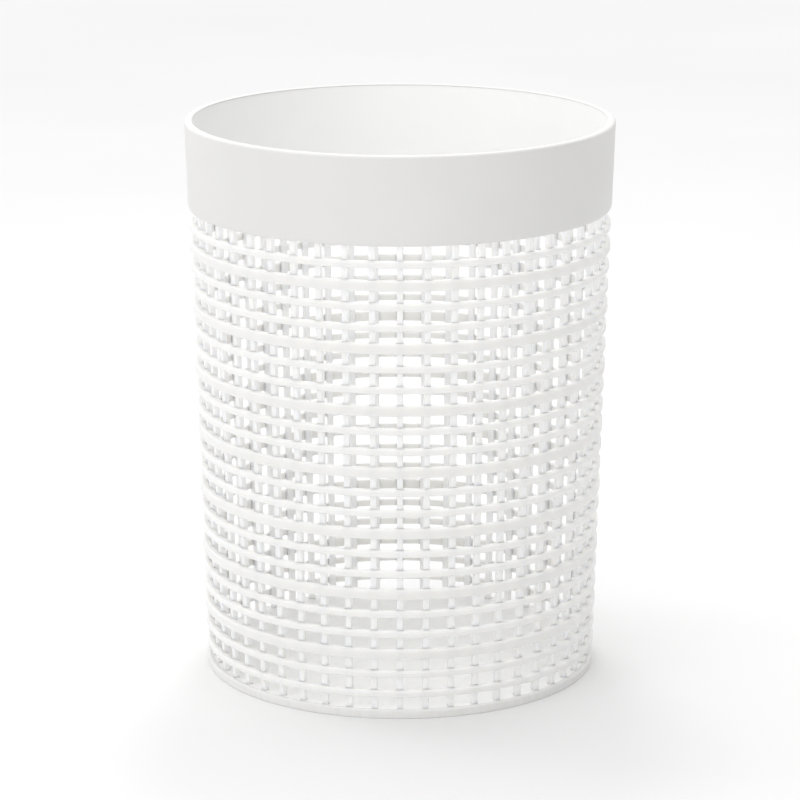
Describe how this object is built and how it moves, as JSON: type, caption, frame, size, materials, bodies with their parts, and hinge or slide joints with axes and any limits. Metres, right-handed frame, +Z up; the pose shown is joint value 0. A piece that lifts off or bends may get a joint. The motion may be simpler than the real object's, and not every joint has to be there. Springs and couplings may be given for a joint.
{
  "type": "wastebasket",
  "caption": "Round tapered wastebasket with a mesh wall of upright ribs and level hoops and a plain lift-off collar that traps the liner.",
  "frame": {"origin": "centre of the foot ring's underside, on the surface the basket stands on", "axes": "+Z up along the basket's axis, which is also the way the collar lifts off; the ribs are evenly spaced from +X, so one is centred on each of the four axes"},
  "size_m": [0.2138, 0.2138, 0.28],
  "materials": {
    "collar": "smooth satin white polypropylene",
    "rim": "smooth white polypropylene",
    "ribs": "white polypropylene, slightly translucent",
    "hoops": "white polypropylene, slightly translucent",
    "broad_hoops": "white polypropylene, slightly translucent",
    "foot": "white polypropylene",
    "floor": "fine-textured white polypropylene"
  },
  "bodies": {
    "basket": {"rim_band": "rim", "rib_pair_01": "ribs", "rib_pair_02": "ribs", "rib_pair_03": "ribs", "rib_pair_04": "ribs", "rib_pair_05": "ribs", "rib_pair_06": "ribs", "rib_pair_07": "ribs", "rib_pair_08": "ribs", "rib_pair_09": "ribs", "rib_pair_10": "ribs", "rib_pair_11": "ribs", "rib_pair_12": "ribs", "rib_pair_13": "ribs", "rib_pair_14": "ribs", "rib_pair_15": "ribs", "rib_pair_16": "ribs", "rib_pair_17": "ribs", "rib_pair_18": "ribs", "rib_pair_19": "ribs", "rib_pair_20": "ribs", "rib_pair_21": "ribs", "rib_pair_22": "ribs", "rib_pair_23": "ribs", "rib_pair_24": "ribs", "hoop_01": "hoops", "hoop_02": "hoops", "hoop_03": "broad_hoops", "hoop_04": "hoops", "hoop_05": "hoops", "hoop_06": "broad_hoops", "hoop_07": "hoops", "hoop_08": "hoops", "hoop_09": "broad_hoops", "hoop_10": "hoops", "hoop_11": "hoops", "hoop_12": "broad_hoops", "hoop_13": "hoops", "hoop_14": "hoops", "hoop_15": "broad_hoops", "hoop_16": "hoops", "hoop_17": "hoops", "hoop_18": "broad_hoops", "hoop_19": "hoops", "hoop_20": "hoops", "hoop_21": "broad_hoops", "hoop_22": "hoops", "foot_ring": "foot", "floor_panel": "floor"},
    "collar": {"retaining_collar": "collar"}
  },
  "joints": [
    {"name": "collar_lift", "type": "slide", "parent": "basket", "child": "collar", "axis": [0, 0, 1], "range_m": [0, 0.06]}
  ]
}
